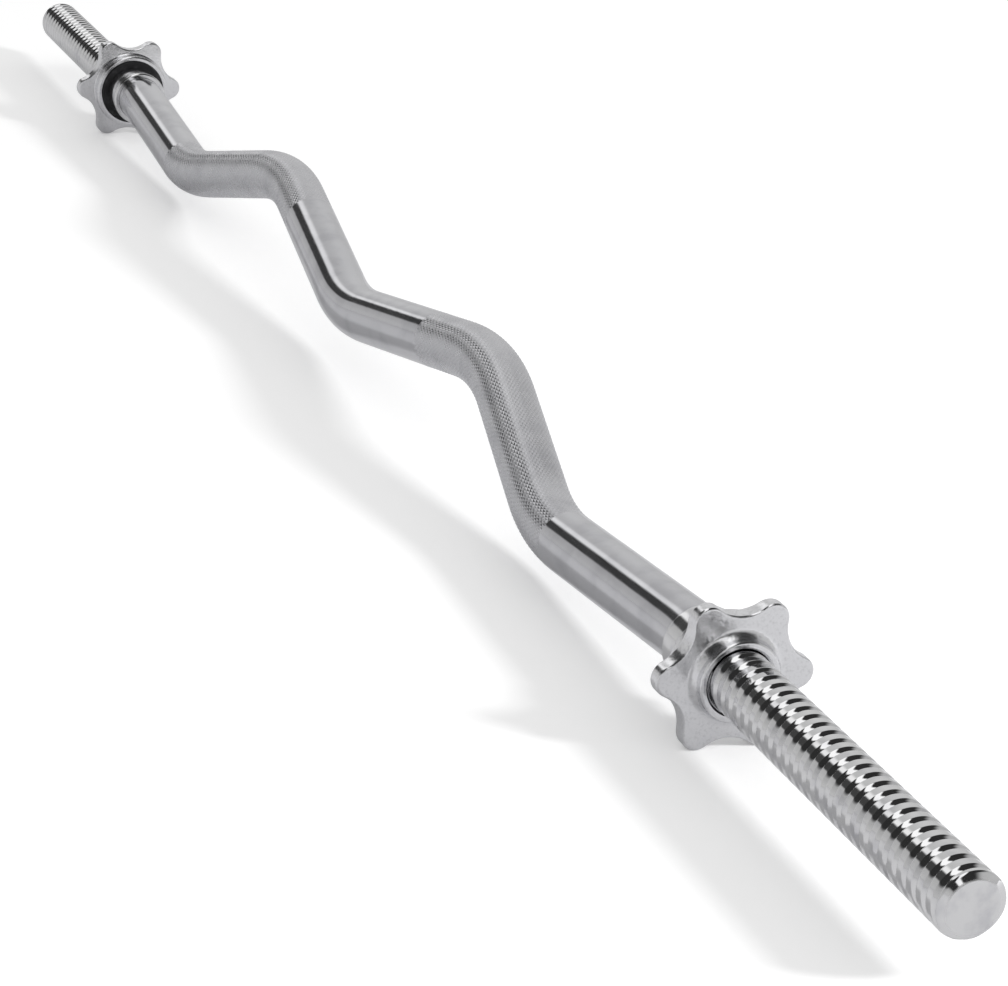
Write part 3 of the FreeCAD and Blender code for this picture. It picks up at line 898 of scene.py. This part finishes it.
class CURLBAR_OT_bent_bar(bpy.types.Operator):
    """Build the bent bar with its two knurled grips."""

    bl_idname = "curlbar.bent_bar"
    bl_label = "Bent bar"

    def execute(self, context):
        scene = context.scene
        wave = scene.curl_bar_wave
        grid, knurled = bent_bar_points(wave, scene.curl_bar_knurl, scene.curl_bar_collars.stop_end)
        piece = capped_tube("bent_bar", lift(grid, wave.axis_height), knurled)
        finished(piece, satin_chrome(scene.curl_bar_finish), "bar", "curl_bar")
        piece.data.materials.append(knurl_chrome(scene.curl_bar_finish))
        return {"FINISHED"}


class CURLBAR_OT_threaded_ends(bpy.types.Operator):
    """Build the two threaded sleeves."""

    bl_idname = "curlbar.threaded_ends"
    bl_label = "Threaded ends"

    def execute(self, context):
        scene = context.scene
        wave = scene.curl_bar_wave
        material = thread_chrome(scene.curl_bar_finish, wave.tip)
        start = scene.curl_bar_collars.stop_end - SLEEVE_OVERLAP
        grid = threaded_end_points(scene.curl_bar_thread, wave, start)
        for side, points in (("right", grid), ("left", to_left(grid))):
            piece = capped_tube(side + "_threaded_end", lift(points, wave.axis_height))
            finished(piece, material, "bar", "curl_bar")
        return {"FINISHED"}


class CURLBAR_OT_stop_collars(bpy.types.Operator):
    """Build the two pressed stop collars at the inner ends of the sleeves."""

    bl_idname = "curlbar.stop_collars"
    bl_label = "Stop collars"

    def execute(self, context):
        scene = context.scene
        wave = scene.curl_bar_wave
        collars = scene.curl_bar_collars
        material = bright_chrome(scene.curl_bar_finish)
        bore = wave.radius + PRESS_FIT
        grid = ring_points(
            collars.stop_start, collars.stop_end, bore, collars.stop_radius, CRISP_EDGE, collars.stop_edge)
        for side, points in (("right", grid), ("left", to_left(grid))):
            piece = closed_ring(side + "_stop_collar", lift(points, wave.axis_height))
            finished(piece, material, "bar", side + "_inner_collar")
        return {"FINISHED"}


class CURLBAR_OT_rubber_rings(bpy.types.Operator):
    """Build the two rubber rings that sit in the star collars' faces."""

    bl_idname = "curlbar.rubber_rings"
    bl_label = "Rubber rings"

    def execute(self, context):
        scene = context.scene
        collars = scene.curl_bar_collars
        material = black_rubber(scene.curl_bar_finish)
        edge = collars.ring_edge
        grid = ring_points(
            collars.ring_start, collars.ring_end, collars.ring_bore, collars.ring_radius, edge, edge)
        for side, points in (("right", grid), ("left", to_left(grid))):
            piece = closed_ring(side + "_soft_ring", lift(points, scene.curl_bar_wave.axis_height))
            finished(piece, material, side + "_ring", side + "_rubber_ring")
        return {"FINISHED"}


class CURLBAR_OT_star_collars(bpy.types.Operator):
    """Build the two cast star collars."""

    bl_idname = "curlbar.star_collars"
    bl_label = "Star collars"

    def execute(self, context):
        scene = context.scene
        collars = scene.curl_bar_collars
        thread = scene.curl_bar_thread
        material = plated_casting(scene.curl_bar_finish)
        right = star_collar_points(collars, thread, collars.right_turn)
        left = to_left(star_collar_points(collars, thread, -collars.left_turn))
        for side, points in (("right", right), ("left", left)):
            piece = closed_ring(side + "_star_nut", lift(points, scene.curl_bar_wave.axis_height))
            finished(piece, material, side + "_collar", side + "_star_collar")
        return {"FINISHED"}


class CURLBAR_OT_stage(bpy.types.Operator):
    """Set the floor, the light and the camera."""

    bl_idname = "curlbar.stage"
    bl_label = "Stage"

    def execute(self, context):
        scene = context.scene
        studio = scene.curl_bar_studio
        scene.view_settings.view_transform = "Standard"
        scene.world = studio_world(studio)
        add_floor(studio)
        add_key_light(context.collection, studio)
        scene.camera = add_camera(context.collection)
        return {"FINISHED"}


class CURLBAR_PT_pieces(bpy.types.Panel):
    """The curl bar's pieces and their sizes."""

    bl_idname = "CURLBAR_PT_pieces"
    bl_label = "Curl bar"
    bl_space_type = "VIEW_3D"
    bl_region_type = "UI"
    bl_category = "Curl bar"

    def draw(self, context):
        for operator in OPERATORS:
            self.layout.operator(operator.bl_idname)
        for name, group in GROUPS.items():
            box = self.layout.box()
            values = getattr(context.scene, name)
            for size_name in group.__annotations__:
                box.prop(values, size_name)


GROUPS = {
    "curl_bar_wave": CurlBarWave,
    "curl_bar_knurl": CurlBarKnurl,
    "curl_bar_thread": CurlBarThread,
    "curl_bar_collars": CurlBarCollars,
    "curl_bar_finish": CurlBarFinish,
    "curl_bar_studio": CurlBarStudio,
}
OPERATORS = (
    CURLBAR_OT_bent_bar,
    CURLBAR_OT_threaded_ends,
    CURLBAR_OT_stop_collars,
    CURLBAR_OT_rubber_rings,
    CURLBAR_OT_star_collars,
    CURLBAR_OT_stage,
)


def register():
    """Register the sizes, the operators and the panel."""
    for name, group in GROUPS.items():
        bpy.utils.register_class(group)
        setattr(bpy.types.Scene, name, bpy.props.PointerProperty(type=group))
    for thing in (*OPERATORS, CURLBAR_PT_pieces):
        bpy.utils.register_class(thing)


def unregister():
    """Take back what register did, in the opposite order."""
    for thing in (CURLBAR_PT_pieces, *reversed(OPERATORS)):
        bpy.utils.unregister_class(thing)
    for name, group in reversed(GROUPS.items()):
        delattr(bpy.types.Scene, name)
        bpy.utils.unregister_class(group)


def main():
    """Register the add-on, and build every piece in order."""
    register()
    bpy.ops.curlbar.bent_bar()
    bpy.ops.curlbar.threaded_ends()
    bpy.ops.curlbar.stop_collars()
    bpy.ops.curlbar.rubber_rings()
    bpy.ops.curlbar.star_collars()
    bpy.ops.curlbar.stage()


if __name__ == "__main__":
    main()
